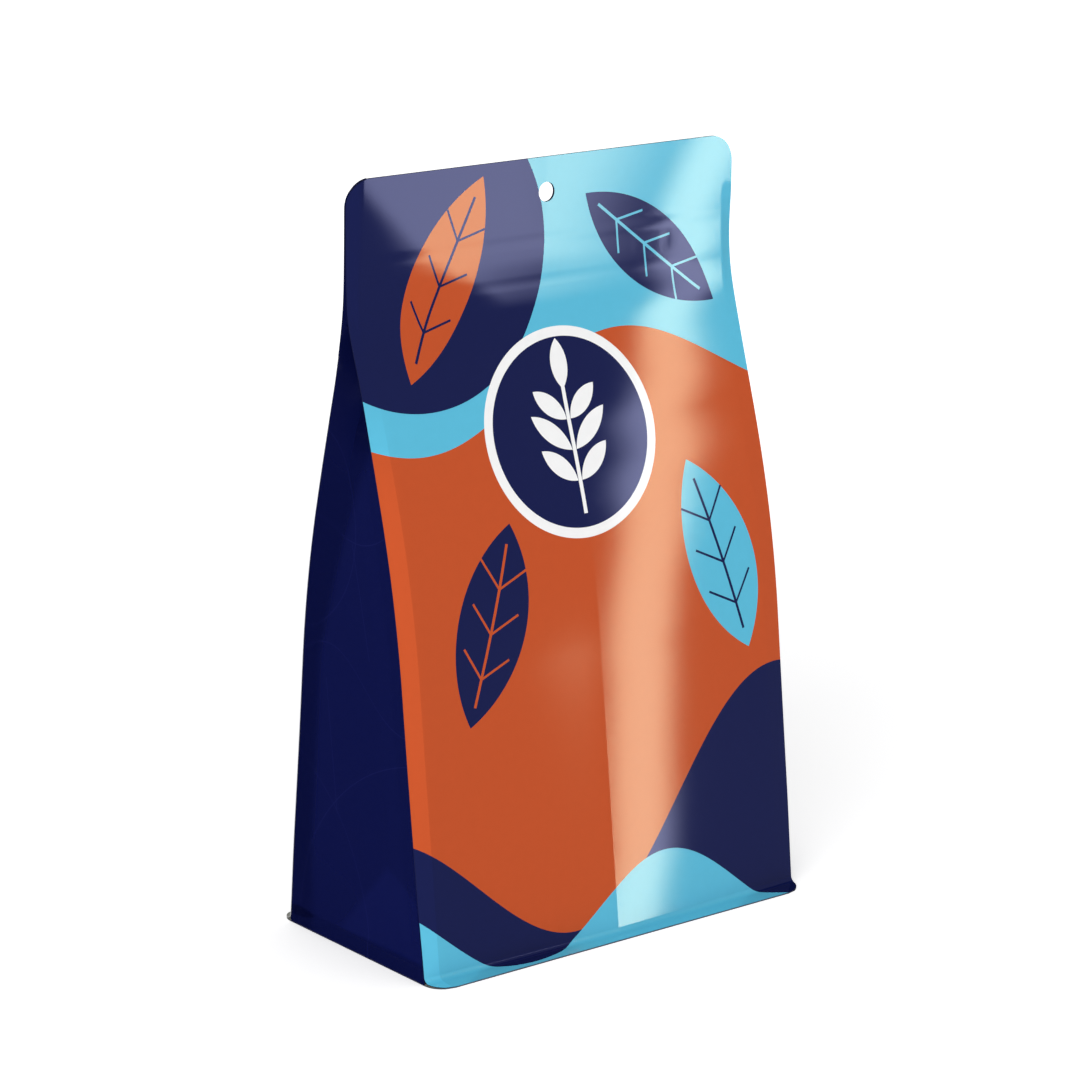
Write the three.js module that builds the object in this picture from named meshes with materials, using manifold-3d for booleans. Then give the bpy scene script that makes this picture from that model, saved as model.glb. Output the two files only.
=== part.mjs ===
// Flat-bottom pouch of laminated film, filled and shut, standing on its base.
// Millimetres, +Z up, front towards -Y, origin on the floor under the middle of the base.
// The pouch can't be seen into, so it is one solid out to the film's outer face.

import * as THREE from 'three';
import { mergeVertices } from 'three/addons/utils/BufferGeometryUtils.js';
import Module from 'manifold-3d';

// ---- Driving dimensions ----
const WIDTH = 140;              // across the front, from seal edge to seal edge
const HEIGHT = 228.4;           // floor to top edge
const FOOT_DEPTH = 67.6;        // front wall to back wall at the floor
const TOP_RADIUS = 8;           // rounded upper corners

// The front and back lean in at one slope, bend, and lean in more steeply until they meet.
const LEAN_LOW = 0.1;           // inward mm per mm of height, below the bend
const LEAN_HIGH = 0.304;        // the same, above the bend
const BEND_FROM = 85;
const BEND_TO = 150;
const TOP_SEAL_HALF = 0.6;      // half the thickness of the sealed top

const CORNER_SEAL = 5.5;        // width of the sealed band along each upright edge
const BAND_STEP = 0.5;          // how far a filled panel stands out beside those bands
const PANEL_CROWN = 1.3;        // and how much further along its middle line
const CROWN_FULL_FROM = 25;     // both grow up to this height
const CROWN_FULL_TO = 95;       // and fade out from here
const CROWN_END = 183;

// Bottom seals: the front and the back panel each turn out into a level fin.
const FIN_REACH = 6.5;
const FIN_TIP_THICK = 0.6;
const FIN_ROOT_THICK = 0.95;
const FIN_FILLET = 1.7;         // radius between the wall and the fin

// Gusset: each side folds in along its middle line towards the top.
const FOLD_FROM = 140;
const FOLD_RATE = 0.0095;       // depth grows with the square of the height above FOLD_FROM
const FOLD_DEEPEST = 12;
const FOLD_CLOSES = 186;        // the two lips meet here
const FOLD_CLOSING = 6;         // height over which the fold runs out
const LIP = 0.7;                // thickness of the film beside the fold

// Press-to-close zipper: two beads that stand out on both faces.
const ZIPPER_BEADS = [
  { z: 192.6, rise: 0.85, halfLength: 65 },
  { z: 204.5, rise: 0.6, halfLength: 58.5 },
];
const BEAD_FLAT = 0.7;          // half the width of a bead's crest
const BEAD_FOOT = 1.7;          // half the width of its foot
const BEAD_RUNOUT = 2;          // length over which a bead's end fades

const HANG_HOLE = { radius: 2.9, z: 218.1 };

const FILM_COLOUR = 0x1f214c;

// ---- Small helpers ----
const clamp = THREE.MathUtils.clamp;
const ramp = THREE.MathUtils.smoothstep;
const mirrored = (stations) => [...stations.slice(1).reverse().map((s) => -s), ...stations];
const evenly = (from, to, steps) =>
  Array.from({ length: steps + 1 }, (_, i) => from + ((to - from) * i) / steps);

// Half the depth from wall to wall at a height.
function halfDepth(z) {
  const extraLean = LEAN_HIGH - LEAN_LOW;
  const bendLength = BEND_TO - BEND_FROM;
  const intoBend = clamp(z - BEND_FROM, 0, bendLength);
  const pastBend = Math.max(z - BEND_TO, 0);
  const wall = FOOT_DEPTH / 2 - LEAN_LOW * z
    - (extraLean / bendLength / 2) * intoBend ** 2
    - extraLean * pastBend;
  return Math.max(wall, TOP_SEAL_HALF);
}

// Half the width at a height, for a point that stands `out` beyond the wall on a fin.
function halfWidth(z, out) {
  const overTop = Math.max(z - (HEIGHT - TOP_RADIUS), 0);
  const topLoss = TOP_RADIUS - Math.sqrt(Math.max(TOP_RADIUS ** 2 - overTop ** 2, 0));
  const overFin = clamp(out, 0, FIN_REACH);
  const finLoss = FIN_REACH - Math.sqrt(FIN_REACH ** 2 - overFin ** 2);
  return WIDTH / 2 - topLoss - finLoss;
}

// How far a filled panel stands out of the plane of its upright edges.
function panelBulge(x, z) {
  const share = ramp(z, 0, CROWN_FULL_FROM) * (1 - ramp(z, CROWN_FULL_TO, CROWN_END));
  const fromEdge = WIDTH / 2 - Math.abs(x);
  const step = BAND_STEP * clamp(fromEdge / CORNER_SEAL, 0, 1);
  return (step + (PANEL_CROWN * fromEdge) / (WIDTH / 2)) * share;
}

// How far the zipper stands out of a panel.
function zipperRise(x, z) {
  let rise = 0;
  for (const bead of ZIPPER_BEADS) {
    const across = clamp((BEAD_FOOT - Math.abs(z - bead.z)) / (BEAD_FOOT - BEAD_FLAT), 0, 1);
    const along = clamp((bead.halfLength - Math.abs(x)) / BEAD_RUNOUT, 0, 1);
    rise = Math.max(rise, bead.rise * across * along);
  }
  return rise;
}

// How far a gusset is folded in along its middle line, and at a point beside that line.
function foldDepth(z) {
  const grown = Math.min(FOLD_RATE * Math.max(z - FOLD_FROM, 0) ** 2, FOLD_DEEPEST);
  return grown * clamp((FOLD_CLOSES - z) / FOLD_CLOSING, 0, 1);
}
function gussetInset(y, z) {
  const lipInside = halfDepth(z) - LIP;
  return foldDepth(z) * clamp(1 - Math.abs(y) / lipInside, 0, 1);
}

// ---- Rows: heights from the floor to the top edge, with how far the wall flares out ----
function makeRows() {
  const rows = [{ z: 0, flare: FIN_REACH }];
  for (const share of [1, 0.92, 0.75, 0.5, 0]) {
    rows.push({
      z: FIN_TIP_THICK + (FIN_ROOT_THICK - FIN_TIP_THICK) * (1 - share),
      flare: FIN_FILLET + (FIN_REACH - FIN_FILLET) * share,
    });
  }
  for (const angle of evenly(0, Math.PI / 2, 4).slice(1)) {
    rows.push({
      z: FIN_ROOT_THICK + FIN_FILLET * (1 - Math.cos(angle)),
      flare: FIN_FILLET * (1 - Math.sin(angle)),
    });
  }
  const beads = ZIPPER_BEADS.flatMap(({ z }) => (
    [-BEAD_FOOT, -BEAD_FLAT, BEAD_FLAT, BEAD_FOOT].map((half) => z + half)));
  const corner = evenly(0, Math.PI / 2, 6)
    .map((angle) => HEIGHT - TOP_RADIUS + TOP_RADIUS * Math.sin(angle));
  const heights = [
    6, 11, 17, ...evenly(25, 180, 20), 183, FOLD_CLOSES, 188.5,
    ...beads, 212, ...corner,
  ];
  heights.forEach((z) => rows.push({ z, flare: 0 }));
  return rows;
}

// ---- The pouch: a gridded box whose points are moved onto the film's outer face ----
function makePouch() {
  const rows = makeRows();
  const half = WIDTH / 2;
  const inner = half - CORNER_SEAL;
  const across = mirrored([...evenly(0, inner, 8), half - CORNER_SEAL / 2, half])
    .map((x) => x / half);
  const sideSteps = 4;
  const box = new THREE.BoxGeometry(2, 2, 1, across.length - 1, 4 * sideSteps, rows.length - 1);
  box.deleteAttribute('normal');
  box.deleteAttribute('uv');
  const points = box.attributes.position;
  for (let i = 0; i < points.count; i += 1) {
    const u = across[Math.round(((points.getX(i) + 1) / 2) * (across.length - 1))];
    const step = Math.round(Math.abs(points.getY(i)) * 2 * sideSteps);
    const side = Math.sign(points.getY(i));
    const { z, flare } = rows[Math.round((points.getZ(i) + 0.5) * (rows.length - 1))];

    // From the gusset's middle line out to the lip, then over the lip and any fin.
    const wall = halfDepth(z);
    const lipInside = wall - Math.min(LIP, wall / 2);
    const reach = step <= sideSteps
      ? lipInside * (step / sideSteps)
      : lipInside + (wall + flare - lipInside) * ((step - sideSteps) / sideSteps);
    let y = side * reach;
    let x = u * halfWidth(z, reach - wall);
    if (step === 2 * sideSteps) y += side * (zipperRise(x, z) + panelBulge(x, z));
    if (Math.abs(u) === 1) x -= Math.sign(u) * gussetInset(y, z);
    points.setXYZ(i, x, y, z);
  }
  return mergeVertices(box);
}

function makeHangHole() {
  const hole = new THREE.CylinderGeometry(HANG_HOLE.radius, HANG_HOLE.radius, 8, 40);
  hole.translate(0, 0, HANG_HOLE.z);
  hole.deleteAttribute('normal');
  hole.deleteAttribute('uv');
  return mergeVertices(hole);
}

const wasm = await Module();
wasm.setup();

function toSolid(geometry) {
  return new wasm.Manifold(new wasm.Mesh({
    numProp: 3,
    vertProperties: Float32Array.from(geometry.attributes.position.array),
    triVerts: Uint32Array.from(geometry.index.array),
  }));
}

function toGeometry(solid) {
  const mesh = solid.getMesh();
  const geometry = new THREE.BufferGeometry();
  geometry.setAttribute('position', new THREE.BufferAttribute(mesh.vertProperties, 3));
  geometry.setIndex(new THREE.BufferAttribute(mesh.triVerts, 1));
  geometry.computeVertexNormals();
  return geometry;
}

const film = new THREE.MeshStandardMaterial({
  color: FILM_COLOUR, roughness: 0.32, metalness: 0,
});
const pouch = new THREE.Mesh(toGeometry(toSolid(makePouch()).subtract(toSolid(makeHangHole()))), film);
pouch.name = 'pouch';

const model = new THREE.Group();
model.add(pouch);
export default model;
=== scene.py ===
# The looks of a flat-bottom pouch: printed film panels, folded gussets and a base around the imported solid.
from bisect import bisect
import math

import bmesh
import bpy
from bpy.props import FloatProperty, FloatVectorProperty, PointerProperty
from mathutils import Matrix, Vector, noise


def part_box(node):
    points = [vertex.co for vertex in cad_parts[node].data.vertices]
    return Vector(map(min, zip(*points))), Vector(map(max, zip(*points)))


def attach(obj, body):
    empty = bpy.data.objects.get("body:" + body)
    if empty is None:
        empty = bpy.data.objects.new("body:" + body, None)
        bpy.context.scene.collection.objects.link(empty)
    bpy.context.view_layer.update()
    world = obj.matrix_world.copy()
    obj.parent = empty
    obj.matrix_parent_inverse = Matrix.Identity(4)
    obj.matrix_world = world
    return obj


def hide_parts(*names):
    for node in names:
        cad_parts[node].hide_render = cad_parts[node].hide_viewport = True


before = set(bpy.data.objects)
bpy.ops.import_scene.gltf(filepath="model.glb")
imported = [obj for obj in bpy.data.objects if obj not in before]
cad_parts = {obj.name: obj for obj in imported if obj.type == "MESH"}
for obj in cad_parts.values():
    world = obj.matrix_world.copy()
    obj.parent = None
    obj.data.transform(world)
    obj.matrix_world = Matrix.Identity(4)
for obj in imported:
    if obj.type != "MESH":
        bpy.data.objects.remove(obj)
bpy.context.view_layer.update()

bl_info = {
    "name": "Flat-bottom pouch",
    "version": (1, 0, 0),
    "blender": (4, 5, 0),
    "location": "View3D > Sidebar > Pouch",
    "description": "Builds a filled, shut flat-bottom pouch of printed film and a plain studio round it",
    "category": "Add Mesh",
}

NODE = "pouch"
BODY = "root"
MM = 0.001
LOW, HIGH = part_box(NODE)


def ink(red, green, blue):
    """An ink's scene-linear colour, from the 0 to 255 values that it shows on a screen."""
    shares = [value / 255 for value in (red, green, blue)]
    return [s / 12.92 if s <= 0.04045 else ((s + 0.055) / 1.055) ** 2.4 for s in shares]


# ---------------------------------------------------------------- properties

def length(name, description, default):
    return FloatProperty(name=name, description=description, default=default, min=0.0,
                         unit="LENGTH", subtype="DISTANCE", precision=5)


def colour(name, description, default):
    return FloatVectorProperty(name=name, description=description, default=default, size=3,
                               subtype="COLOR", min=0.0, max=1.0)


class PouchSizes(bpy.types.PropertyGroup):
    """Real sizes of the pouch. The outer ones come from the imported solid."""
    width: length("Width", "Front panel, from cut edge to cut edge", HIGH[0] - LOW[0])
    height: length("Height", "Floor to top edge", HIGH[2] - LOW[2])
    fin_reach: length("Fin reach", "How far each bottom seal stands out of its wall", 6.5 * MM)
    foot_depth: length("Foot depth", "Front wall to back wall at the floor",
                       HIGH[1] - LOW[1] - 13 * MM)
    film: length("Film", "Thickness of the laminated film", 0.2 * MM)
    corner_seal: length("Corner seal", "Width of the sealed band along each upright edge", 5.5 * MM)
    band_fall: length("Band fall", "How far a panel falls back across its left corner band", 0.95 * MM)
    crown: length("Crown", "How far a panel stands out beside its corner bands", 0.45 * MM)
    side_bulge: length("Side bulge", "How far the filled sides stand out of their edges", 1.3 * MM)
    fillet: length("Fin fillet", "Radius between a wall and its fin", 1.7 * MM)
    top_radius: length("Corner radius", "Rounding of the two top corners", 8 * MM)
    hole_radius: length("Hang hole radius", "Radius of the punched hang hole", 2.9 * MM)
    hole_height: length("Hang hole height", "Height of the hang hole's centre", 218.1 * MM)
    fold_deepest: length("Gusset fold", "How far a gusset is folded in near the top", 12 * MM)


class PouchInks(bpy.types.PropertyGroup):
    """Colours of the inks and of the bare film."""
    navy: colour("Navy", "Dark ink", ink(15, 22, 68))
    side: colour("Deep navy", "Ink of the sides", ink(11, 17, 66))
    orange: colour("Orange", "Warm ink", ink(186, 75, 36))
    blue: colour("Light blue", "Pale ink", ink(84, 179, 210))
    line: colour("Fine line", "Ink of the thin lines on the sides", ink(18, 23, 75))
    white: colour("White", "Ink of the label's rim and motif", ink(235, 235, 235))
    bare: colour("Bare film", "Unprinted film, on the back fin and the inside", ink(168, 168, 160))
    edge: colour("Cut edge", "Core of the film where it is cut", ink(24, 27, 58))
    scuff: colour("Scuff", "Worn spots of the base", ink(58, 62, 100))
    back_edge: colour("Back's cut edge", "The bare margin of the back, where it is cut", ink(186, 186, 188))


class PouchStudio(bpy.types.PropertyGroup):
    """The light that the pouch stands in."""
    fill: FloatProperty(name="Fill", description="Brightness of the even light from all round",
                        default=0.15, min=0.0)
    front: FloatProperty(name="Front", description="Power of the softbox beside the camera in watts",
                         default=680.0, min=0.0)
    top: FloatProperty(name="Top", description="Power of the softbox overhead in watts",
                       default=250.0, min=0.0)
    # The table glows least by the pouch and more further out: painted shade at the pouch's foot.
    table: FloatProperty(name="Table", description="Glow of the floor, a light table, by the pouch",
                         default=0.45, min=0.0)
    surround: FloatProperty(name="Surround", description="Brightness of the walls that gloss shows",
                            default=0.4, min=0.0)
    strip: FloatProperty(name="Strip", description="Brightness of the upright strip that gloss shows",
                         default=9.0, min=0.0)
    patch: FloatProperty(name="Patch", description="Brightness of the soft patch beside the strip",
                         default=6.8, min=0.0)


# ---------------------------------------------------------------- the pouch's form

LEAN_LOW = 0.1                      # inward lean of front and back, below the bend
LEAN_HIGH = 0.304                   # and above it
BEND_FROM, BEND_TO = 85 * MM, 150 * MM
SEAL_HALF = 0.3 * MM                # half the thickness of the sealed top
ZIPPER_HALF = 1.1 * MM              # half the thickness where the zipper is
ZIPPER_FADE = (197 * MM, 214 * MM)  # it thins out between these heights, and the front stays plane
CRUSHED = 3.2 * MM                  # width over which the zipper is crushed at both ends
SHOULDER = 2.4 * MM                 # softness of the bend below the zipper
SEAL_TWIST = 0.25                   # the top's right end turns forward, in radians per metre of height
TWIST_FROM = 206 * MM
BOW_RISE = (168 * MM, 192 * MM)     # heights over which the top comes to stand off the middle plane
BOW_EDGE = 4.5 * MM                 # and the width over which it does so, in from the left edge
FACET_SLOPE = 0.03                  # the left corner bends back beyond a slanting line from its tip
FACET_SOFTNESS = 6 * MM
FACET_NORMAL = Vector((-0.596, 0.803))
BAND_SHARES = {-1: 1.0, 1: 0.25}    # the corner bands fall back unevenly, left and right
BAND_RISE, BAND_FADE = (-20 * MM, 75 * MM), (135 * MM, 175 * MM)
CROWN_FADE = (110 * MM, 184 * MM)
RIDGE_SLOPES = (                    # height in mm, and how steeply a filled panel falls away from its middle
    (0, 0.026), (30, 0.0228), (60, 0.0209), (85, 0.0194), (105, 0.0199), (125, 0.0131), (140, 0.0044),
    (155, -0.0008), (168, -0.0005), (180, 0.0033), (190, 0.0066), (200, 0.0012), (212, -0.0008),
)
RIDGE_SKEW, RIDGE_SKEW_WIDTH = 0.5, 12 * MM    # it falls more steeply to the left, close by
SIDE_GROWTH = 0.3 * MM              # the filled pouch is this much wider above its foot, on each side
FILLET_START = math.radians(70)     # the wall turns into the fin with a crease, then a curve
FIN_TIP, FIN_ROOT = 0.4 * MM, 0.9 * MM     # height of a fin's upper face
FOLD_FROM, FOLD_CLOSES, FOLD_RUNOUT = 140 * MM, 187 * MM, 6 * MM
FOLD_RATE = 9.5                     # fold depth per square of the height above FOLD_FROM, in 1/m

ZIPPER_BEADS = (                    # height, rise, half length, half width
    (192.6 * MM, 0.025 * MM, 70 * MM, 2.2 * MM),
    (204.5 * MM, 0.03 * MM, 70 * MM, 2.4 * MM),
)
BEAD_RUNOUT = 28 * MM               # length over which a bead fades out at each end
ZIPPER_DENTS = (-31, -22, -10, 34, 45, 53)  # mm across the front, small pinches between the beads
DENT_HEIGHT, DENT_DEPTH = 199 * MM, 0.006 * MM


def smooth(value, start, end):
    """0 before start, 1 after end, and an even S between them."""
    share = min(max((value - start) / (end - start), 0.0), 1.0)
    return share * share * (3 - 2 * share)


def bump(distance, half_width):
    """A round hump, 1 in its middle and 0 from half_width on."""
    share = min(abs(distance) / half_width, 1.0)
    return (1 - share * share) ** 2


def rounded_ramp(value, radius):
    """0 well below zero, the value itself well above, and a bend of some radius between."""
    return (value + math.hypot(value, radius)) / 2


def through(points, place):
    """The value at a place of a smooth line through (place, value) points, level beyond both ends."""
    index = min(max(bisect([point[0] for point in points], place), 1), len(points) - 1)
    (start, first), (end, second) = points[index - 1:index + 1]
    share = min(max((place - start) / (end - start), 0.0), 1.0)

    def rise(at):
        if at in (0, len(points) - 1):
            return 0.0
        (before, low), (after, high) = points[at - 1], points[at + 1]
        return (high - low) / (after - before) * (end - start)

    return (first + (second - first) * share * share * (3 - 2 * share)
            + share * (1 - share) * (rise(index - 1) * (1 - share) - rise(index) * share))


def steps(start, end, count):
    return [start + (end - start) * i / count for i in range(count + 1)]


def half_depth(size, z, from_edge=1.0):
    """Half the depth from wall to wall at a height; the zipper is crushed in the corner seals."""
    bend = BEND_TO - BEND_FROM
    into_bend = min(max(z - BEND_FROM, 0), bend)
    past_bend = max(z - BEND_TO, 0)
    extra = LEAN_HIGH - LEAN_LOW
    wall = size.foot_depth / 2 - LEAN_LOW * z - extra / bend / 2 * into_bend ** 2 - extra * past_bend
    crushed = min(max(from_edge / CRUSHED, 0), 1)
    top = SEAL_HALF + (ZIPPER_HALF - SEAL_HALF) * (1 - smooth(z, *ZIPPER_FADE)) * crushed
    return top + rounded_ramp(wall - top, SHOULDER)


def half_width(size, z, out):
    """Half the width at a height, `out` beyond the wall on a fin."""
    over_top = max(z - (size.height - size.top_radius), 0)
    top_loss = size.top_radius - math.sqrt(max(size.top_radius ** 2 - over_top ** 2, 0))
    over_fin = min(max(out, 0), size.fin_reach)
    fin_loss = size.fin_reach - math.sqrt(size.fin_reach ** 2 - over_fin ** 2)
    return size.width / 2 + SIDE_GROWTH * smooth(z, 0, 30 * MM) - top_loss - fin_loss


def zipper_rise(size, x, z):
    """How far the press-to-close zipper stands out of a panel."""
    rise = 0.0
    for height, bead, half_length, half in ZIPPER_BEADS:
        along = 1 - smooth(abs(x), half_length - BEAD_RUNOUT, half_length)
        rise += bead * along * bump(z - height, half)
    for place in ZIPPER_DENTS:
        dent = bump(x - place * MM, 1.6 * MM) * bump(z - DENT_HEIGHT, 4.5 * MM)
        rise -= DENT_DEPTH * dent * (1 if place % 2 else -1)
    return rise


def film_waves(x, z, seed):
    """The slight unevenness of filled film, a tenth of a millimetre or less."""
    slow = noise.noise(Vector((x * 16, z * 9, seed)))
    quick = noise.noise(Vector((x * 45, z * 30, seed + 5)))
    return (0.006 * slow + 0.0015 * quick) * MM


def seal_bow(size, x, z):
    """How far the top stands forward of the middle plane; both panels and the gussets follow it."""
    from_left = x + size.width / 2
    forward = (ZIPPER_HALF - SEAL_HALF) * smooth(z, *ZIPPER_FADE) * smooth(from_left, 0, BOW_EDGE)
    twist = SEAL_TWIST * max(z - TWIST_FROM, 0) * max(x, 0)
    from_corner = Vector((from_left, size.height - z))
    facet = -FACET_SLOPE * rounded_ramp(from_corner.dot(FACET_NORMAL), FACET_SOFTNESS)
    return forward + (twist + facet) * smooth(z, *BOW_RISE)


def panel_relief(size, x, z, seed):
    """How far a front or back panel stands out of the plane of its cut edges."""
    from_edge = size.width / 2 - abs(x)
    band = 1 - min(max(from_edge / size.corner_seal, 0), 1)
    tall = smooth(z, *BAND_RISE) * (1 - smooth(z, *BAND_FADE))
    fall = size.band_fall * BAND_SHARES[-1 if x < 0 else 1] * band * tall
    foot = smooth(z, FIN_TIP, FIN_ROOT)
    from_middle = abs(x)
    if x < 0:
        from_middle += RIDGE_SKEW * RIDGE_SKEW_WIDTH * (1 - math.exp(x / RIDGE_SKEW_WIDTH))
    crown = through(RIDGE_SLOPES, z / MM) * (size.width / 2 - from_middle)
    crown += size.crown * (1 - smooth(z, *CROWN_FADE))
    quiet = smooth(from_edge, 0, 12 * MM) * smooth(z, 0, 20 * MM) * (1 - smooth(z, 175 * MM, 190 * MM))
    return crown * foot - fall + zipper_rise(size, x, z) + film_waves(x, z, seed) * quiet


# ---------------------------------------------------------------- sheets

def sheet(columns, rows, place, creases=(), folds=()):
    """A grid of film. place(column, row) gives a point and its spot on the flat film.

    Some columns are sharp creases, and some rows sharp folds."""
    bm = bmesh.new()
    across, up = len(columns) - 1, len(rows) - 1
    bmesh.ops.create_grid(bm, x_segments=across, y_segments=up, size=1)
    flat, on_crease, on_fold = {}, set(), set()
    for vert in bm.verts:
        column = columns[round((vert.co.x + 1) / 2 * across)]
        row = rows[round((vert.co.y + 1) / 2 * up)]
        vert.co, flat[vert] = place(column, row)
        if any(math.isclose(column, crease, abs_tol=1e-9) for crease in creases):
            on_crease.add(vert)
        if row in folds:
            on_fold.add(vert)
    for edge in bm.edges:
        edge.smooth = not (on_crease.issuperset(edge.verts) or on_fold.issuperset(edge.verts))
    layer = bm.loops.layers.uv.new("film")
    for face in bm.faces:
        face.smooth = True
        for loop in face.loops:
            loop[layer].uv = flat[loop.vert]
    return bm


def finish_piece(bm, name, materials, film):
    """Turns a sheet's bmesh into a piece of film with an inner side and a cut edge."""
    for edge in bm.edges:
        if edge.is_boundary:
            edge.smooth = False
    mesh = bpy.data.meshes.new(name)
    bm.to_mesh(mesh)
    bm.free()
    piece = bpy.data.objects.new(name, mesh)
    bpy.context.scene.collection.objects.link(piece)
    for material in materials:
        mesh.materials.append(material)
    shell = piece.modifiers.new("film", "SOLIDIFY")
    shell.thickness = film
    shell.offset = -1
    shell.material_offset = 1
    shell.material_offset_rim = 2
    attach(piece, BODY)
    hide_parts(NODE)
    return piece


def panel_columns(size):
    half = size.width / 2
    cell = size.hole_radius / 3
    hole = [cell * i for i in range(7)]
    inner = half - size.corner_seal
    middle = steps(hole[-1], inner - 3 * MM, 36)
    side = steps(inner - 3 * MM, inner, 6) + steps(inner, half, 11)[1:]
    right = hole + middle[1:] + side[1:]
    return [-x for x in reversed(right[1:])] + right


def corner_heights(size):
    """Heights that step evenly round the top corners."""
    return [size.height - size.top_radius * (1 - math.sin(a)) for a in steps(0, math.pi / 2, 16)]


def panel_rows(size):
    """(reach beyond the wall, height, length along the film) from the fin's tip to the top edge."""
    rows = []
    for share in steps(1, 0, 6):
        rows.append((size.fillet + (size.fin_reach - size.fillet) * share,
                     FIN_TIP + (FIN_ROOT - FIN_TIP) * (1 - share)))
    for angle in steps(0, FILLET_START, 8)[1:]:
        rows.append((size.fillet * (1 - math.sin(angle)), FIN_ROOT + size.fillet * (1 - math.cos(angle))))
    rows.append((0.0, rows[-1][1] + rows[-1][0] * math.tan(FILLET_START)))
    cell = size.hole_radius / 3
    hole = [size.hole_height + cell * i for i in range(-6, 7)]
    heights = steps(rows[-1][1], 184 * MM, 112)[1:] + steps(184 * MM, 209 * MM, 56)[1:]
    heights += steps(209 * MM, hole[0], 3)[1:-1] + hole
    heights += [z for z in corner_heights(size) if z > hole[-1] + 0.2 * MM]
    rows += [(0.0, z) for z in heights]
    along, last, result = 0.0, None, []
    for reach, z in rows:
        point = Vector((half_depth(size, z) + reach, z))
        along += (point - last).length if last else 0.0
        last = point
        result.append((reach, z, along))
    return result


def round_the_hole(size, x, z):
    """Moves the squares of the grid round the hang hole onto circles."""
    inner, outer = size.hole_radius, 2 * size.hole_radius
    offset = Vector((x, z - size.hole_height))
    square = max(abs(offset.x), abs(offset.y))
    if square >= outer or offset.length == 0:
        return x, z
    share = min((outer - square) / (outer - inner), 1.0)
    moved = offset.lerp(offset.normalized() * square, share)
    return moved.x, size.hole_height + moved.y


def punch_hole(bm, size):
    """Takes out the faces inside the hang hole's circle."""
    inside = []
    for face in bm.faces:
        middle = face.calc_center_median()
        if math.hypot(middle.x, middle.z - size.hole_height) < size.hole_radius * 0.98:
            inside.append(face)
    bmesh.ops.delete(bm, geom=inside, context="FACES")


def make_panel(name, size, facing, seed, materials):
    """A front (facing -1) or back (facing 1) panel, from its bottom fin to the top seal."""
    def place(column, row):
        reach, row_z, along = row
        x = column * half_width(size, row_z, reach) / (size.width / 2)
        x, z = round_the_hole(size, x, row_z)
        world_x = -facing * x
        depth = half_depth(size, z, size.width / 2 - abs(x)) + reach + panel_relief(size, world_x, z, seed)
        depth -= facing * seal_bow(size, world_x, z)
        return Vector((world_x, facing * depth, z)), (x, along + z - row_z)

    inner = size.width / 2 - size.corner_seal
    rows = panel_rows(size)
    wall_foot = next(row for row in rows if row[0] == 0)
    creases = (-inner, inner, 0.0)
    bm = sheet(panel_columns(size), rows, place, creases, [wall_foot])
    punch_hole(bm, size)
    return finish_piece(bm, name, materials, size.film)


def fold_depth(size, z):
    """How far a gusset is folded in along its middle line."""
    grown = min(FOLD_RATE * max(z - FOLD_FROM, 0) ** 2, size.fold_deepest)
    return grown * min(max((FOLD_CLOSES - z) / FOLD_RUNOUT, 0), 1)


def gusset_relief(size, y, z):
    """How far a filled side stands out of its two edges; y runs from the front (-) to the back (+)."""
    half = half_depth(size, z)
    from_front, from_back = half + y, half - y
    crease = min(11.5 * MM + 0.16 * max(z - 90 * MM, 0), 1.8 * half)
    rising, falling = from_back / crease, from_front / (2 * half - crease)
    tent = rising - rounded_ramp(rising - falling, 0.05)
    bulge = size.side_bulge * tent * smooth(z, 5 * MM, 30 * MM) * (1 - smooth(z, 118 * MM, 156 * MM))
    strip = -0.25 * MM * max(1 - abs(from_front - 6 * MM) / (6 * MM), 0) * smooth(half, 8 * MM, 16 * MM)
    above, aside = z - 33 * MM, y + 17 * MM
    facet = min(-0.714 * (aside - 27 * MM) - 0.7 * (above + 27.5 * MM), 0.472 * aside - 0.881 * above)
    corner = -0.04 * rounded_ramp(facet, 0.8 * MM) * smooth(z, 5 * MM, 7 * MM)
    dent = -0.3 * MM * bump(z - 4.5 * MM, 2.5 * MM) * smooth(y, half - 12 * MM, half - 2 * MM)
    return bulge + strip * smooth(z, 6 * MM, 14 * MM) + corner + dent


def make_gusset(name, size, side, seed, materials):
    """The folded film of one side: side -1 is the left, 1 the right, seen from the front."""
    lips = 0.95
    right = steps(0, lips, 30) + steps(lips, 1, 8)[1:]
    columns = [-c for c in reversed(right[1:])] + right
    rows = steps(0.05 * MM, 8 * MM, 16) + steps(8 * MM, 190 * MM, 140)[1:]
    rows += steps(190 * MM, size.height - size.top_radius, 16)[1:-1] + corner_heights(size)[:-1]

    def place(column, z):
        edge = half_depth(size, z, 0) + panel_relief(size, side * size.width / 2, z, seed) - size.film
        y = column * edge
        softened = (math.hypot(column, 0.04) - 0.04) / (math.hypot(1, 0.04) - 0.04)
        fold = fold_depth(size, z) * max(1 - softened, 0)
        quiet = smooth(edge - abs(y), 0, 8 * MM)
        out = gusset_relief(size, y, z) * smooth(edge - abs(y), 0, 1.2 * MM) + film_waves(y, z, seed) * quiet
        x = side * (half_width(size, z, 0) - 0.06 * MM - fold + out)
        return Vector((x, y - seal_bow(size, side * size.width / 2, z), z)), (y, z)

    bm = sheet(columns, rows, place)
    if side < 0:
        bmesh.ops.reverse_faces(bm, faces=bm.faces)
    return finish_piece(bm, name, materials, size.film)


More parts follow.
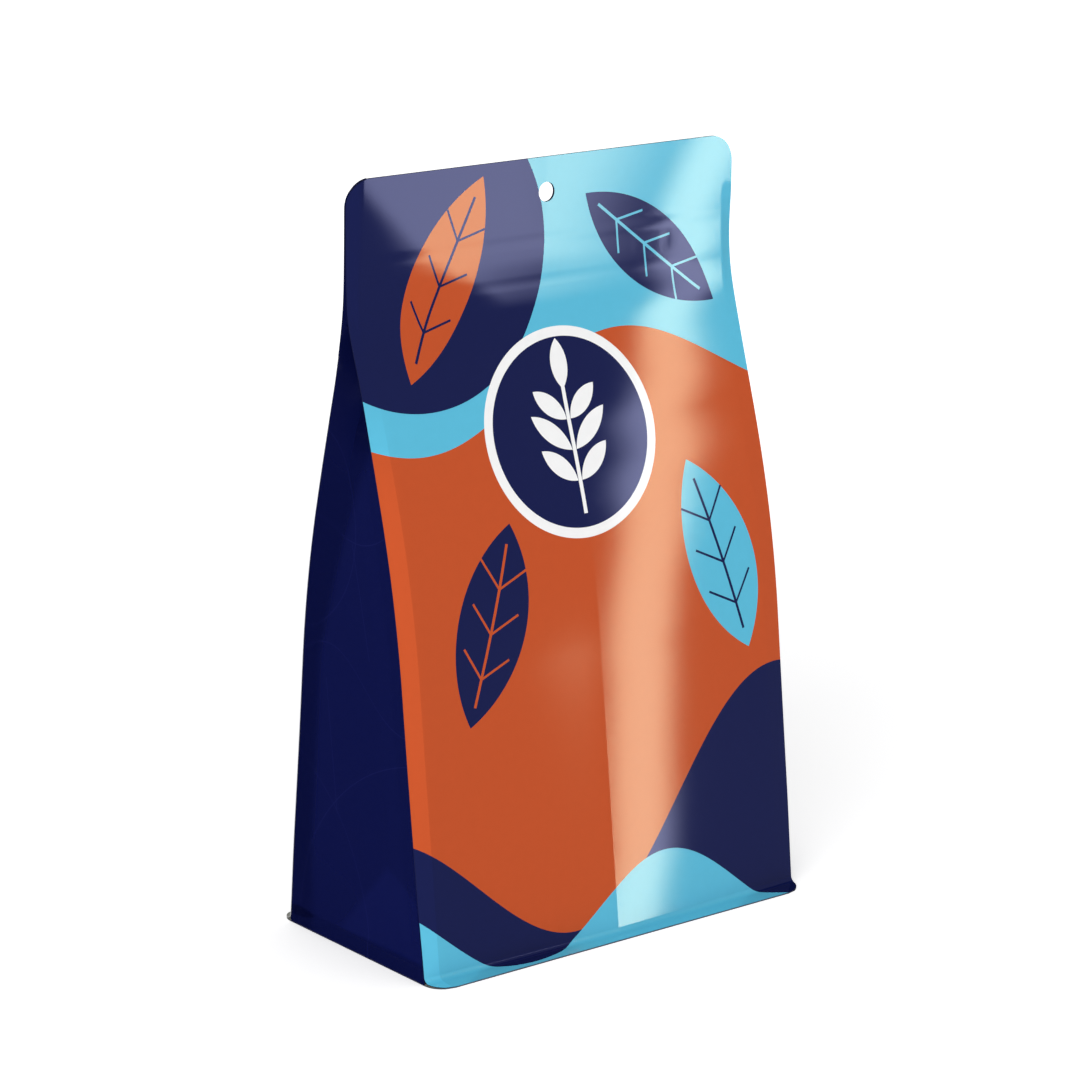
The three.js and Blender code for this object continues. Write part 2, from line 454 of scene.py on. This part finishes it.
def make_base(name, size, materials):
    """The flat bottom panel, with its two fins and a shallow hollow between the seals."""
    half, wall = size.width / 2, size.foot_depth / 2
    reach = wall + size.fin_reach
    columns = [-c for c in reversed(steps(0, half, 56)[1:])] + steps(0, half, 56)
    rows = [-r for r in reversed(steps(0, wall, 26)[1:] + steps(wall, reach, 8)[1:])]
    rows += steps(0, wall, 26) + steps(wall, reach, 8)[1:]

    def place(column, y):
        x = column * half_width(size, 0, abs(y) - wall) / half
        from_side = half - abs(x)
        from_wall = wall - abs(y)
        hollow = smooth(from_side, 4 * MM, 7 * MM) * smooth(from_wall, 0, 2.5 * MM)
        dome = smooth(from_side, 4 * MM, 40 * MM) * smooth(from_wall, 0, 25 * MM)
        crease = bump((from_side - from_wall) * math.sqrt(0.5), 1.6 * MM) * smooth(from_side, 4 * MM, 9 * MM)
        crease *= 1 - smooth(from_side, wall - 6 * MM, wall)
        z = 0.3 * MM * hollow + 0.8 * MM * dome - 0.2 * MM * crease * hollow
        return Vector((x, -y, z)), (x, y)

    bm = sheet(columns, rows, place)
    return finish_piece(bm, name, materials, size.film)


# ---------------------------------------------------------------- prints and film

class Print:
    """Fields of ink with sharp edges, laid over each other on the flat film, in millimetres."""

    def __init__(self, tree, ground):
        self.tree = tree
        coordinates = tree.nodes.new("ShaderNodeUVMap")
        coordinates.uv_map = "film"
        scaled = tree.nodes.new("ShaderNodeVectorMath")
        scaled.operation = "SCALE"
        scaled.inputs["Scale"].default_value = 1 / MM
        tree.links.new(coordinates.outputs["UV"], scaled.inputs[0])
        split = tree.nodes.new("ShaderNodeSeparateXYZ")
        tree.links.new(scaled.outputs[0], split.inputs[0])
        self.place = scaled.outputs[0]
        self.x, self.y = split.outputs["X"], split.outputs["Y"]
        self.colour = ground

    def math(self, operation, *values):
        node = self.tree.nodes.new("ShaderNodeMath")
        node.operation = operation
        for socket, value in zip(node.inputs, values):
            if isinstance(value, bpy.types.NodeSocket):
                self.tree.links.new(value, socket)
            else:
                socket.default_value = value
        return node.outputs[0]

    def turned(self, x, y, degrees):
        """The flat place counted from (x, y), in axes turned by some degrees."""
        angle = math.radians(degrees)
        dx, dy = self.math("SUBTRACT", self.x, x), self.math("SUBTRACT", self.y, y)
        cosine, sine = math.cos(angle), math.sin(angle)
        along = self.math("MULTIPLY_ADD", dy, sine, self.math("MULTIPLY", dx, cosine))
        aside = self.math("MULTIPLY_ADD", dx, -sine, self.math("MULTIPLY", dy, cosine))
        return along, aside

    def distance(self, dx, dy):
        return self.math("SQRT", self.math("MULTIPLY_ADD", dx, dx, self.math("MULTIPLY", dy, dy)))

    def disc(self, x, y, radius):
        dx, dy = self.math("SUBTRACT", self.x, x), self.math("SUBTRACT", self.y, y)
        return self.math("LESS_THAN", self.distance(dx, dy), radius)

    def leaf(self, x, y, leaf_length, leaf_width, degrees):
        """Two equal arcs that meet in two points."""
        along, aside = self.turned(x, y, degrees)
        radius = (leaf_length ** 2 + leaf_width ** 2) / (4 * leaf_width)
        offset = self.math("ADD", self.math("ABSOLUTE", aside), radius - leaf_width / 2)
        return self.math("LESS_THAN", self.distance(along, offset), radius)

    def rib(self, x, y, rib_length, rib_width, degrees):
        """A straight line with square ends."""
        along, aside = self.turned(x, y, degrees)
        within = self.math("LESS_THAN", self.math("ABSOLUTE", along), rib_length / 2)
        return self.both(within, self.math("LESS_THAN", self.math("ABSOLUTE", aside), rib_width / 2))

    def wave(self, base, height, wave_length, phase, slope=0.0):
        """The height of a wavy line above the film's lower edge."""
        angle = self.math("MULTIPLY_ADD", self.x, 2 * math.pi / wave_length, phase)
        line = self.math("MULTIPLY_ADD", self.math("SINE", angle), height, base)
        return self.math("MULTIPLY_ADD", self.x, slope, line)

    def above(self, line):
        return self.math("GREATER_THAN", self.y, line)

    def below(self, line):
        return self.math("LESS_THAN", self.y, line)

    def within(self, value, middle, reach):
        return self.math("LESS_THAN", self.math("ABSOLUTE", self.math("SUBTRACT", value, middle)), reach)

    def both(self, first, second):
        return self.math("MULTIPLY", first, second)

    def without(self, first, second):
        return self.math("MULTIPLY", first, self.math("SUBTRACT", 1.0, second))

    def outline(self, distance, radius, line_width):
        """A line of some width where a distance passes a radius."""
        off = self.math("ABSOLUTE", self.math("SUBTRACT", distance, radius))
        return self.math("LESS_THAN", off, line_width / 2)

    def ring(self, x, y, radius, line_width):
        dx, dy = self.math("SUBTRACT", self.x, x), self.math("SUBTRACT", self.y, y)
        return self.outline(self.distance(dx, dy), radius, line_width)

    def soft(self, value, start, end):
        """0 to 1 while a value runs from start to end."""
        ramp = self.tree.nodes.new("ShaderNodeMapRange")
        ramp.interpolation_type = "SMOOTHSTEP"
        ramp.inputs["From Min"].default_value = start
        ramp.inputs["From Max"].default_value = end
        self.tree.links.new(value, ramp.inputs["Value"])
        return ramp.outputs["Result"]

    def shade(self, mask, share):
        """Leaves this share of the colour where the mask is 1."""
        self.lay(mask, (share, share, share), "MULTIPLY")

    def lay(self, mask, colour_value, blend="MIX"):
        mix = self.tree.nodes.new("ShaderNodeMix")
        mix.data_type = "RGBA"
        mix.blend_type = blend
        self.tree.links.new(mask, mix.inputs["Factor"])
        first, second = mix.inputs[6], mix.inputs[7]
        if isinstance(self.colour, bpy.types.NodeSocket):
            self.tree.links.new(self.colour, first)
        else:
            first.default_value = (*self.colour, 1)
        second.default_value = (*colour_value, 1)
        self.colour = mix.outputs[2]


def veined_leaf(art, x, y, leaf_length, leaf_width, degrees, fill, vein):
    """A leaf with a middle rib and three pairs of veins."""
    shape = art.leaf(x, y, leaf_length, leaf_width, degrees)
    art.lay(shape, fill)
    art.lay(art.rib(x, y, leaf_length * 0.8, 0.9, degrees), vein)
    angle = math.radians(degrees)
    for place in (-0.2, 0.02, 0.24):
        for side in (-1, 1):
            along, aside = place * leaf_length, side * leaf_width * 0.17
            vein_x = x + math.cos(angle) * along - math.sin(angle) * aside
            vein_y = y + math.sin(angle) * along + math.cos(angle) * aside
            art.lay(art.rib(vein_x, vein_y, leaf_width * 0.46, 0.7, degrees + 48 * side), vein)


SPRIG_LEAN = 48                     # degrees between the sprig's stem and its leaves


def front_print_and_painted_light(tree, inks):
    """The front's own design: hills, leaves and a round label with a sprig, with painted light on its left
    corner band.
    """
    art = Print(tree, inks.orange)
    ridge = art.wave(170, 14, 150, 0.6)
    art.lay(art.above(ridge), inks.blue)
    art.lay(art.below(art.wave(38, 26, 150, -1.1, 0.18)), inks.navy)
    art.lay(art.below(art.wave(14, 14, 110, 0.4, -0.05)), inks.blue)
    art.lay(art.disc(-47, 214, 46), inks.navy)
    veined_leaf(art, -38, 205, 64, 22, 62, inks.orange, inks.navy)
    veined_leaf(art, 38, 206, 60, 22, -38, inks.navy, inks.blue)
    veined_leaf(art, -38, 105, 60, 24, 70, inks.navy, inks.orange)
    veined_leaf(art, 49, 112, 62, 25, 106, inks.blue, inks.navy)
    # Painted light: the left corner band is lightened as if turned toward the light, fading out upward
    # between 138 and 182 mm.
    band = art.math("LESS_THAN", art.x, -64.75)
    art.shade(art.both(band, art.soft(art.y, 182, 138)), 1.13)
    art.lay(art.disc(0, 156, 31), inks.white)
    art.lay(art.disc(0, 156, 28), inks.navy)
    art.lay(art.rib(0, 152, 40, 1.3, 90), inks.white)
    lean = math.radians(SPRIG_LEAN)
    for place, leaf_length in ((-9, 15), (0, 17), (9, 14)):
        for side in (-1, 1):
            turn = 90 - SPRIG_LEAN * side
            reach = leaf_length / 2 + 1
            leaf_x = side * math.sin(lean) * reach
            leaf_y = 150 + place + math.cos(lean) * reach
            art.lay(art.leaf(leaf_x, leaf_y, leaf_length, 5.6, turn), inks.white)
    art.lay(art.leaf(0, 176, 15, 6, 90), inks.white)
    return art


def back_print(tree, inks):
    """The back's design: the same hills, with a plain panel for the words that a packer adds."""
    art = Print(tree, inks.navy)
    art.lay(art.above(art.wave(190, 12, 140, 0.2)), inks.blue)
    art.lay(art.below(art.wave(70, 20, 160, 0.5, 0.1)), inks.orange)
    art.lay(art.below(art.wave(26, 10, 120, 2.0)), inks.blue)
    veined_leaf(art, -40, 178, 56, 20, 118, inks.orange, inks.navy)
    veined_leaf(art, 42, 170, 44, 17, 58, inks.blue, inks.navy)
    card = art.both(art.within(art.x, 0, 43), art.within(art.y, 104, 33))
    art.lay(card, inks.white)
    art.lay(art.both(art.within(art.x, 0, 41), art.within(art.y, 104, 31)), inks.navy)
    for height in (92, 98, 104, 110, 116):
        art.lay(art.rib(0, height, 66, 0.5, 0), inks.blue)
    art.lay(art.below(7.5), inks.bare)
    return art


def side_print_and_painted_shading(tree, inks):
    """The sides' deep navy: thin lines, with painted shade behind a slanting line, near the top fold, along
    the bottom fold and in a dent, and painted light on a bottom corner facet.
    """
    art = Print(tree, inks.side)
    for line in (art.ring(-44, -8, 74, 0.32), art.ring(46, 8, 52, 0.3), art.ring(30, 128, 34, 0.3),
                 art.outline(art.y, art.wave(84, 7, 60, 0.8, 0.2), 0.32),
                 art.outline(art.y, art.wave(128, 4, 50, -0.6, -0.15), 0.3),
                 art.rib(-6, 108, 34, 0.3, 78), art.rib(9, 62, 40, 0.3, 84)):
        art.lay(line, inks.line)
    # Painted shade: behind a line running from near the back edge at the foot up to the front edge higher
    # up, the film is darkened as if turned away from the light.
    upper = art.math("MAXIMUM", art.math("SUBTRACT", art.y, 88), 0.0)
    crease = art.math("MULTIPLY_ADD", upper, -0.28, art.math("MULTIPLY_ADD", art.y, -0.09, 22.5))
    past = art.math("SUBTRACT", art.x, crease)
    art.shade(art.soft(past, -3.0, 3.0), 0.76)
    # Painted shade: darker near the top, where the side folds in.
    art.shade(art.soft(art.y, 146, 162), 0.84)
    # Painted light: a triangular facet by the bottom front corner is lightened, as if facing the light.
    along, aside = art.math("ADD", art.x, 17), art.math("SUBTRACT", art.y, 33)
    first = art.math("MULTIPLY_ADD", along, -0.714, art.math("MULTIPLY_ADD", aside, -0.7, 0.03))
    second = art.math("MULTIPLY_ADD", along, 0.472, art.math("MULTIPLY", aside, -0.881))
    facet = art.soft(art.math("MINIMUM", first, second), 0.0, 3.0)
    art.shade(art.both(facet, art.soft(art.y, 5.2, 6.4)), 1.2)
    # Painted shade: darker along the bottom fold, and in a tapered dent near the back edge.
    art.shade(art.soft(art.y, 6.2, 5.2), 0.84)
    art.shade(art.leaf(29.5, 4.6, 17, 3.4, -4), 0.72)
    return art


def base_print(tree, inks):
    """The base: navy, with a border line, a line across its middle for the fold and the scuffs of standing.
    """
    art = Print(tree, inks.navy)
    frame_line = art.both(art.within(art.x, 0, 62), art.within(art.y, 0, 28))
    inner = art.both(art.within(art.x, 0, 61.4), art.within(art.y, 0, 27.4))
    art.lay(art.without(frame_line, inner), inks.line)
    art.lay(art.both(art.within(art.y, 0, 0.2), art.within(art.x, 0, 61)), inks.line)
    scuffs = tree.nodes.new("ShaderNodeTexNoise")
    scuffs.inputs["Scale"].default_value = 0.09
    scuffs.inputs["Detail"].default_value = 8
    tree.links.new(art.place, scuffs.inputs["Vector"])
    art.lay(art.soft(scuffs.outputs["Fac"], 0.58, 0.72), inks.scuff)
    return art


def back_edge_print(tree, inks):
    """The back's cut edge: bare beside the filled part, dark where the top is sealed."""
    art = Print(tree, inks.back_edge)
    art.lay(art.above(186), inks.edge)
    return art


def inner_print(tree, inks):
    """The film's inner side: bare in the filled part, dark where the top is sealed."""
    art = Print(tree, inks.bare)
    art.lay(art.above(165), inks.edge)
    return art


def plain_print(colour_name):
    def build(tree, inks):
        return Print(tree, list(getattr(inks, colour_name)))
    return build


# The gloss of the pearl film takes some tint from the ink: shares of the ink and of the gloss.
GLOSS_TINT = ((0.0, 0.33), (0.02, 0.48), (0.06, 0.72), (0.11, 0.95), (0.46, 0.98), (0.65, 0.66), (1.0, 0.4))


def shape_curve(node, points):
    """Runs a curves node's combined curve through some points."""
    curve = node.mapping.curves[3]
    curve.points[0].location = points[0]
    curve.points[-1].location = points[-1]
    for point in points[1:-1]:
        curve.points.new(*point)
    node.mapping.update()


def film_material(name, inks, build_print, roughness=0.03, gloss_tint=None):
    """Printed film, with a fine unevenness in its gloss. A print of several inks tints it by GLOSS_TINT."""
    material = bpy.data.materials.new(name)
    material.use_nodes = True
    tree = material.node_tree
    shader = tree.nodes["Principled BSDF"]
    art = build_print(tree, inks)

    mottle = tree.nodes.new("ShaderNodeTexNoise")
    mottle.inputs["Scale"].default_value = 0.35
    mottle.inputs["Detail"].default_value = 4
    tree.links.new(art.place, mottle.inputs["Vector"])
    gloss = tree.nodes.new("ShaderNodeMapRange")
    gloss.inputs["To Min"].default_value = roughness * 0.85
    gloss.inputs["To Max"].default_value = roughness * 1.15
    tree.links.new(mottle.outputs["Fac"], gloss.inputs["Value"])
    tree.links.new(gloss.outputs["Result"], shader.inputs["Roughness"])

    tint = tree.nodes.new("ShaderNodeHueSaturation")
    tree.links.new(art.math("MULTIPLY_ADD", mottle.outputs["Fac"], 0.06, 0.97), tint.inputs["Value"])
    if isinstance(art.colour, bpy.types.NodeSocket):
        tree.links.new(art.colour, tint.inputs["Color"])
    else:
        tint.inputs["Color"].default_value = (*art.colour, 1)
    tree.links.new(tint.outputs["Color"], shader.inputs["Base Color"])
    if gloss_tint is not None:
        shader.inputs["Specular Tint"].default_value = (*gloss_tint, 1)
    else:
        curve = tree.nodes.new("ShaderNodeRGBCurve")
        shape_curve(curve, GLOSS_TINT)
        tree.links.new(tint.outputs["Color"], curve.inputs["Color"])
        tree.links.new(curve.outputs["Color"], shader.inputs["Specular Tint"])

    grain = tree.nodes.new("ShaderNodeTexNoise")
    grain.inputs["Scale"].default_value = 2.5
    grain.inputs["Detail"].default_value = 2
    tree.links.new(art.place, grain.inputs["Vector"])
    relief = tree.nodes.new("ShaderNodeBump")
    relief.inputs["Strength"].default_value = 0.03
    relief.inputs["Distance"].default_value = 0.05 * MM
    tree.links.new(grain.outputs["Fac"], relief.inputs["Height"])
    tree.links.new(relief.outputs["Normal"], shader.inputs["Normal"])
    return material


def plain_film(colour_name, inks, build_print=None):
    """A material of the film's inside or its cut edge, made once."""
    name = "film_" + colour_name
    made = bpy.data.materials.get(name)
    return made or film_material(name, inks, build_print or plain_print(colour_name), 0.3, (0.7, 0.7, 0.7))


def film_set(name, inks, build_print, edge=None, roughness=0.03):
    """Outer, inner and cut-edge materials of one sheet."""
    rim = edge or plain_film("edge", inks)
    return [film_material(name, inks, build_print, roughness), plain_film("bare", inks, inner_print), rim]


# ---------------------------------------------------------------- studio

CAMERA_TARGET = Vector((-1.15, 0, 113.76)) * MM
CAMERA_AZIMUTH, CAMERA_ELEVATION = -38.0664, 14.807     # degrees round from the front, and up
CAMERA_DISTANCE = 1144.4 * MM
SENSOR = 36.0
CAMERA_LENS = 128.61                                    # mm on a 36 mm sensor


def spot_at(azimuth, elevation, distance):
    """A point seen from the pouch at some degrees round from the front (-Y) and up."""
    turn, rise = math.radians(azimuth), math.radians(elevation)
    flat = math.cos(rise) * distance
    return Vector((math.sin(turn) * flat, -math.cos(turn) * flat, math.sin(rise) * distance))


def make_camera():
    data = bpy.data.cameras.new("camera")
    data.sensor_width = SENSOR
    data.lens = CAMERA_LENS
    data.clip_start, data.clip_end = 0.05, 50
    camera = bpy.data.objects.new("camera", data)
    camera.location = CAMERA_TARGET + spot_at(CAMERA_AZIMUTH, CAMERA_ELEVATION, CAMERA_DISTANCE)
    camera.rotation_euler = (CAMERA_TARGET - camera.location).to_track_quat("-Z", "Y").to_euler()
    bpy.context.scene.collection.objects.link(camera)
    bpy.context.scene.camera = camera


def stage_mesh(name, bm, material):
    mesh = bpy.data.meshes.new(name)
    bm.to_mesh(mesh)
    bm.free()
    mesh.materials.append(material)
    thing = bpy.data.objects.new(name, mesh)
    bpy.context.scene.collection.objects.link(thing)
    return thing


def make_floor(glow):
    bm = bmesh.new()
    bmesh.ops.create_grid(bm, x_segments=1, y_segments=1, size=15)
    material = bpy.data.materials.new("light_table")
    material.use_nodes = True
    shader = material.node_tree.nodes["Principled BSDF"]
    shader.inputs["Base Color"].default_value = (0.8, 0.8, 0.805, 1)
    shader.inputs["Roughness"].default_value = 0.9
    shader.inputs["Specular IOR Level"].default_value = 0.0
    shader.inputs["Emission Color"].default_value = (1, 1, 1, 1)
    place = material.node_tree.nodes.new("ShaderNodeTexCoord")
    distance = material.node_tree.nodes.new("ShaderNodeVectorMath")
    distance.operation = "LENGTH"
    material.node_tree.links.new(place.outputs["Object"], distance.inputs[0])
    # Painted shade: the glow is weakest by the pouch and grows outward, deepening the contact shadow at its
    # foot.
    glow_dimmed_near_pouch = material.node_tree.nodes.new("ShaderNodeMapRange")
    glow_dimmed_near_pouch.inputs["From Min"].default_value = 0.15
    glow_dimmed_near_pouch.inputs["From Max"].default_value = 0.9
    glow_dimmed_near_pouch.inputs["To Min"].default_value = glow
    glow_dimmed_near_pouch.inputs["To Max"].default_value = glow * 1.6
    material.node_tree.links.new(distance.outputs["Value"], glow_dimmed_near_pouch.inputs["Value"])
    material.node_tree.links.new(glow_dimmed_near_pouch.outputs["Result"], shader.inputs["Emission Strength"])
    floor = stage_mesh("floor", bm, material)
    floor.visible_glossy = False


def make_world(strength):
    world = bpy.data.worlds.new("studio")
    world.use_nodes = True
    world.node_tree.nodes["Background"].inputs["Color"].default_value = (1, 1, 1, 1)
    world.node_tree.nodes["Background"].inputs["Strength"].default_value = strength
    world.cycles_visibility.glossy = False
    bpy.context.scene.world = world


def make_softbox(name, azimuth, elevation, distance, width, power):
    data = bpy.data.lights.new(name, "AREA")
    data.shape = "DISK"
    data.size = width
    data.energy = power
    box = bpy.data.objects.new(name, data)
    box.location = spot_at(azimuth, elevation, distance)
    box.rotation_euler = (-box.location).to_track_quat("-Z", "Y").to_euler()
    box.visible_glossy = False
    box.visible_camera = False
    bpy.context.scene.collection.objects.link(box)


CARD_DISTANCE = 40.0                # far enough to be seen in one direction from all over the pouch


def glow_material(name, edge, middle, fades):
    """A card's light. It grows from its edge's to its middle's over `fades`, shares of its size."""
    material = bpy.data.materials.new(name)
    material.use_nodes = True
    tree = material.node_tree
    tree.nodes.clear()
    place = tree.nodes.new("ShaderNodeUVMap")
    place.uv_map = "card"
    split = tree.nodes.new("ShaderNodeSeparateXYZ")
    tree.links.new(place.outputs["UV"], split.inputs[0])
    share = None
    for axis, start, end in fades:
        ramp = tree.nodes.new("ShaderNodeMapRange")
        ramp.interpolation_type = "SMOOTHSTEP"
        ramp.inputs["From Min"].default_value = start
        ramp.inputs["From Max"].default_value = end
        tree.links.new(split.outputs[axis], ramp.inputs["Value"])
        if share is None:
            share = ramp.outputs["Result"]
        else:
            both = tree.nodes.new("ShaderNodeMath")
            both.operation = "MULTIPLY"
            tree.links.new(share, both.inputs[0])
            tree.links.new(ramp.outputs["Result"], both.inputs[1])
            share = both.outputs[0]
    strength = tree.nodes.new("ShaderNodeMapRange")
    strength.inputs["Value"].default_value = 1.0
    strength.inputs["To Min"].default_value = edge
    strength.inputs["To Max"].default_value = middle
    if share is not None:
        tree.links.new(share, strength.inputs["Value"])
    glow = tree.nodes.new("ShaderNodeEmission")
    tree.links.new(strength.outputs["Result"], glow.inputs["Strength"])
    out = tree.nodes.new("ShaderNodeOutputMaterial")
    tree.links.new(glow.outputs[0], out.inputs["Surface"])
    material.cycles.emission_sampling = "NONE"
    return material


def make_card(name, azimuths, elevations, nearness, edge, middle, fades=()):
    """A curved card round the pouch, between two azimuths and two elevations in degrees."""
    bm = bmesh.new()
    bmesh.ops.create_grid(bm, x_segments=48, y_segments=24, size=1)
    share = {vert: ((vert.co.x + 1) / 2, (vert.co.y + 1) / 2) for vert in bm.verts}
    layer = bm.loops.layers.uv.new("card")
    for face in bm.faces:
        for loop in face.loops:
            loop[layer].uv = share[loop.vert]
    for vert, (across, up) in share.items():
        azimuth = azimuths[0] + (azimuths[1] - azimuths[0]) * across
        elevation = elevations[0] + (elevations[1] - elevations[0]) * up
        vert.co = spot_at(azimuth, elevation, CARD_DISTANCE * nearness)
    card = stage_mesh(name, bm, glow_material(name, edge, middle, fades))
    for kind in ("camera", "diffuse", "transmission", "volume_scatter", "shadow"):
        setattr(card, "visible_" + kind, False)


# ---------------------------------------------------------------- operators

class POUCH_OT_front_panel(bpy.types.Operator):
    """Build the printed front, from its bottom fin to the punched top seal"""
    bl_idname = "pouch.front_panel"
    bl_label = "Front panel"

    def execute(self, context):
        scene = context.scene
        materials = film_set("film_front", scene.pouch_inks, front_print_and_painted_light)
        make_panel("front_panel", scene.pouch_sizes, -1, 3.0, materials)
        return {"FINISHED"}


class POUCH_OT_back_panel(bpy.types.Operator):
    """Build the printed back"""
    bl_idname = "pouch.back_panel"
    bl_label = "Back panel"

    def execute(self, context):
        scene = context.scene
        rim = plain_film("back_edge", scene.pouch_inks, back_edge_print)
        materials = film_set("film_back", scene.pouch_inks, back_print, rim)
        make_panel("back_panel", scene.pouch_sizes, 1, 11.0, materials)
        return {"FINISHED"}


class POUCH_OT_gussets(bpy.types.Operator):
    """Build the two folded sides"""
    bl_idname = "pouch.gussets"
    bl_label = "Gussets"

    def execute(self, context):
        scene = context.scene
        materials = film_set("film_side", scene.pouch_inks, side_print_and_painted_shading, roughness=0.2)
        make_gusset("gusset_left", scene.pouch_sizes, -1, 21.0, materials)
        make_gusset("gusset_right", scene.pouch_sizes, 1, 33.0, materials)
        return {"FINISHED"}


class POUCH_OT_base_panel(bpy.types.Operator):
    """Build the flat bottom panel that the pouch stands on"""
    bl_idname = "pouch.base_panel"
    bl_label = "Base panel"

    def execute(self, context):
        scene = context.scene
        materials = film_set("film_base", scene.pouch_inks, base_print)
        make_base("base_panel", scene.pouch_sizes, materials)
        return {"FINISHED"}


class POUCH_OT_studio(bpy.types.Operator):
    """Set up the floor, the light and the camera"""
    bl_idname = "pouch.studio"
    bl_label = "Studio"

    def execute(self, context):
        studio = context.scene.pouch_studio
        context.scene.view_settings.view_transform = "Standard"
        make_floor(studio.table)
        make_world(studio.fill)
        make_softbox("front_softbox", -52, 18, 9.0, 7.2, studio.front)
        make_softbox("top_softbox", 0, 89.9, 8.0, 2.8, studio.top)
        plain = studio.surround
        make_card("surround_card", (-10, 75), (-85, 85), 1.0, plain, plain)
        make_card("patch_card", (34.1, 40.2), (-40, 8), 0.98, plain, studio.patch,
                  (("X", 0.0, 0.16), ("X", 0.95, 0.6), ("Y", 0.88, 0.64)))
        make_card("strip_card", (39.7, 40.8), (-24, 62), 0.96, plain, studio.strip,
                  (("X", 0.0, 0.14), ("X", 1.0, 0.84), ("Y", 0.0, 0.09), ("Y", 1.0, 0.95)))
        make_camera()
        return {"FINISHED"}


class POUCH_PT_sidebar(bpy.types.Panel):
    """Lists the pouch's operators, sizes and inks"""
    bl_idname = "POUCH_PT_sidebar"
    bl_label = "Flat-bottom pouch"
    bl_space_type = "VIEW_3D"
    bl_region_type = "UI"
    bl_category = "Pouch"

    def draw(self, context):
        layout = self.layout
        for operator in OPERATORS:
            layout.operator(operator.bl_idname)
        scene = context.scene
        for group in (scene.pouch_sizes, scene.pouch_inks, scene.pouch_studio):
            box = layout.box()
            for key in group.__annotations__:
                box.prop(group, key)


OPERATORS = (POUCH_OT_front_panel, POUCH_OT_back_panel, POUCH_OT_gussets, POUCH_OT_base_panel,
             POUCH_OT_studio)
GROUPS = {"pouch_sizes": PouchSizes, "pouch_inks": PouchInks, "pouch_studio": PouchStudio}


def register():
    for group in GROUPS.values():
        bpy.utils.register_class(group)
    for name, group in GROUPS.items():
        setattr(bpy.types.Scene, name, PointerProperty(type=group))
    for thing in (*OPERATORS, POUCH_PT_sidebar):
        bpy.utils.register_class(thing)


def unregister():
    for thing in (POUCH_PT_sidebar, *reversed(OPERATORS)):
        bpy.utils.unregister_class(thing)
    for name, group in GROUPS.items():
        delattr(bpy.types.Scene, name)
        bpy.utils.unregister_class(group)


def main():
    register()
    bpy.ops.pouch.front_panel()
    bpy.ops.pouch.back_panel()
    bpy.ops.pouch.gussets()
    bpy.ops.pouch.base_panel()
    bpy.ops.pouch.studio()


if __name__ == "__main__":
    main()
